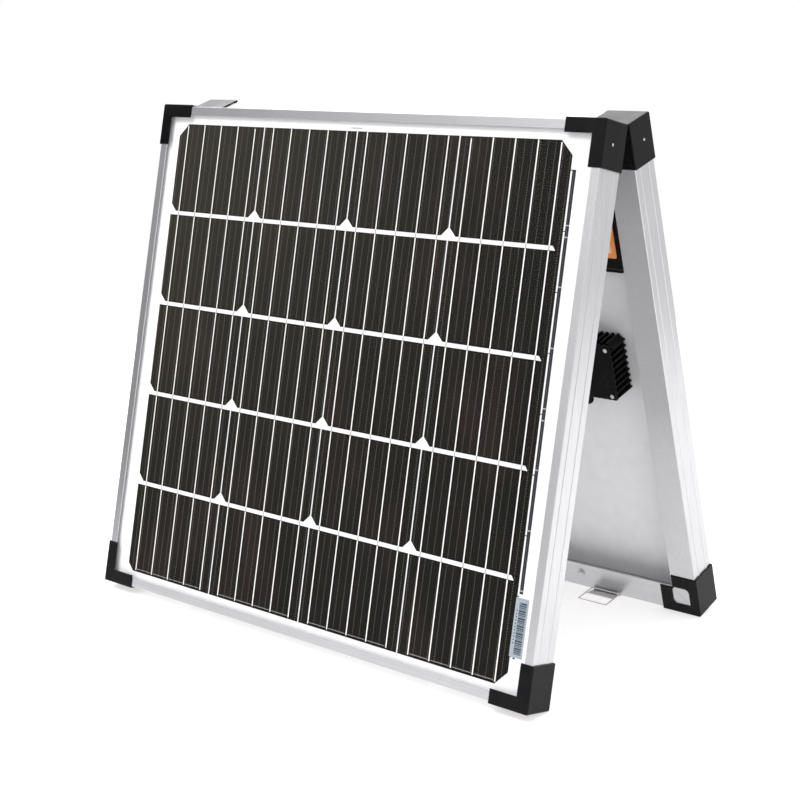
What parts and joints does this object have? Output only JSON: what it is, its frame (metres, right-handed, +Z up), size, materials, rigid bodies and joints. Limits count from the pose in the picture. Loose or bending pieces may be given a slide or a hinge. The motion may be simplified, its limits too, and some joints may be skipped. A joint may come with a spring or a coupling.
{
  "type": "solar suitcase kit",
  "caption": "Folding solar suitcase: framed solar panels hinged along their top edges, stood up as an A, with corner caps, draw latches, junction boxes and a charge regulator.",
  "frame": {"origin": "on the ground, midway between the feet of the two panels and midway along the hinge line", "axes": "+X runs along the hinge line, -Y is the side that the front panel faces, +Z is up"},
  "size_m": [0.707, 0.412, 0.6394],
  "materials": {
    "aluminium": "satin anodised",
    "cap_plastic": "semi-gloss moulded",
    "glass": "low-iron, lightly textured",
    "cells": "silicon cells with white busbars",
    "backsheet": "matt laminate",
    "steel": "zinc plated",
    "chrome": "polished",
    "housing": "moulded",
    "label": "printed",
    "button": "moulded",
    "grip": "moulded"
  },
  "bodies": {
    "front_panel": {"front_rail_left": "aluminium", "front_rail_right": "aluminium", "front_rail_top": "aluminium", "front_rail_bottom": "aluminium", "front_cap_bottom_left": "cap_plastic", "front_cap_bottom_right": "cap_plastic", "front_cap_top_right": "cap_plastic", "front_cap_top_left": "cap_plastic", "front_glass": "glass", "front_cells": "cells", "front_backsheet": "backsheet", "front_junction_box": "housing", "front_junction_lid": "housing", "front_junction_gland": "housing", "front_junction_lid_screw_1": "steel", "front_junction_lid_screw_2": "steel", "front_junction_lid_screw_3": "steel", "front_junction_lid_screw_4": "steel", "hinge_leaf_front_left": "steel", "hinge_leaf_front_right": "steel", "hinge_pin_left": "steel", "hinge_pin_right": "steel", "latch_keeper_left": "chrome", "latch_keeper_right": "chrome"},
    "rear_panel": {"rear_rail_left": "aluminium", "rear_rail_right": "aluminium", "rear_rail_top": "aluminium", "rear_rail_bottom": "aluminium", "rear_cap_bottom_left": "cap_plastic", "rear_cap_bottom_right": "cap_plastic", "rear_cap_top_right": "cap_plastic", "rear_cap_top_left": "cap_plastic", "rear_glass": "glass", "rear_cells": "cells", "rear_backsheet": "backsheet", "rear_junction_box": "housing", "rear_junction_lid": "housing", "rear_junction_gland": "housing", "rear_junction_lid_screw_1": "steel", "rear_junction_lid_screw_2": "steel", "rear_junction_lid_screw_3": "steel", "rear_junction_lid_screw_4": "steel", "regulator_case": "housing", "regulator_label": "label", "regulator_terminals": "housing", "hinge_leaf_rear_left": "steel", "hinge_leaf_rear_right": "steel", "latch_base_left": "chrome", "latch_base_right": "chrome", "handle_bracket_left": "steel", "handle_bracket_right": "steel", "earthing_bolt": "steel"},
    "left_latch_lever": {"latch_lever_left": "chrome"},
    "left_latch_loop": {"latch_loop_left": "chrome"},
    "right_latch_lever": {"latch_lever_right": "chrome"},
    "right_latch_loop": {"latch_loop_right": "chrome"},
    "handle": {"carry_handle": "grip"},
    "button_1": {"regulator_button_1": "button"},
    "button_2": {"regulator_button_2": "button"}
  },
  "joints": [
    {"name": "fold", "type": "hinge", "parent": "front_panel", "child": "rear_panel", "pos_m": [0, 0, 0.63005], "axis": [1, 0, 0], "range_deg": [-26.2, 150.8]},
    {"name": "left_latch_lever_pivot", "type": "hinge", "parent": "rear_panel", "child": "left_latch_lever", "pos_m": [-0.215, 0.1739, 0.0021], "axis": [1, 0, 0], "range_deg": [0, 190]},
    {"name": "left_latch_loop_pivot", "type": "hinge", "parent": "left_latch_lever", "child": "left_latch_loop", "pos_m": [-0.215, 0.1622, 0.0053], "axis": [1, 0, 0], "range_deg": [-80, 8]},
    {"name": "right_latch_lever_pivot", "type": "hinge", "parent": "rear_panel", "child": "right_latch_lever", "pos_m": [0.215, 0.1739, 0.0021], "axis": [1, 0, 0], "range_deg": [0, 190]},
    {"name": "right_latch_loop_pivot", "type": "hinge", "parent": "right_latch_lever", "child": "right_latch_loop", "pos_m": [0.215, 0.1622, 0.0053], "axis": [1, 0, 0], "range_deg": [-80, 8]},
    {"name": "handle_pivot", "type": "hinge", "parent": "rear_panel", "child": "handle", "pos_m": [0, 0.17744, 0.00241], "axis": [1, 0, 0], "range_deg": [-95, 0]},
    {"name": "button_1_press", "type": "slide", "parent": "rear_panel", "child": "button_1", "axis": [0, 0.9677, 0.2521], "range_m": [0, 0.0012], "stiffness_N_per_m": 400, "springref_m": -0.001},
    {"name": "button_2_press", "type": "slide", "parent": "rear_panel", "child": "button_2", "axis": [0, 0.9677, 0.2521], "range_m": [0, 0.0012], "stiffness_N_per_m": 400, "springref_m": -0.001}
  ]
}
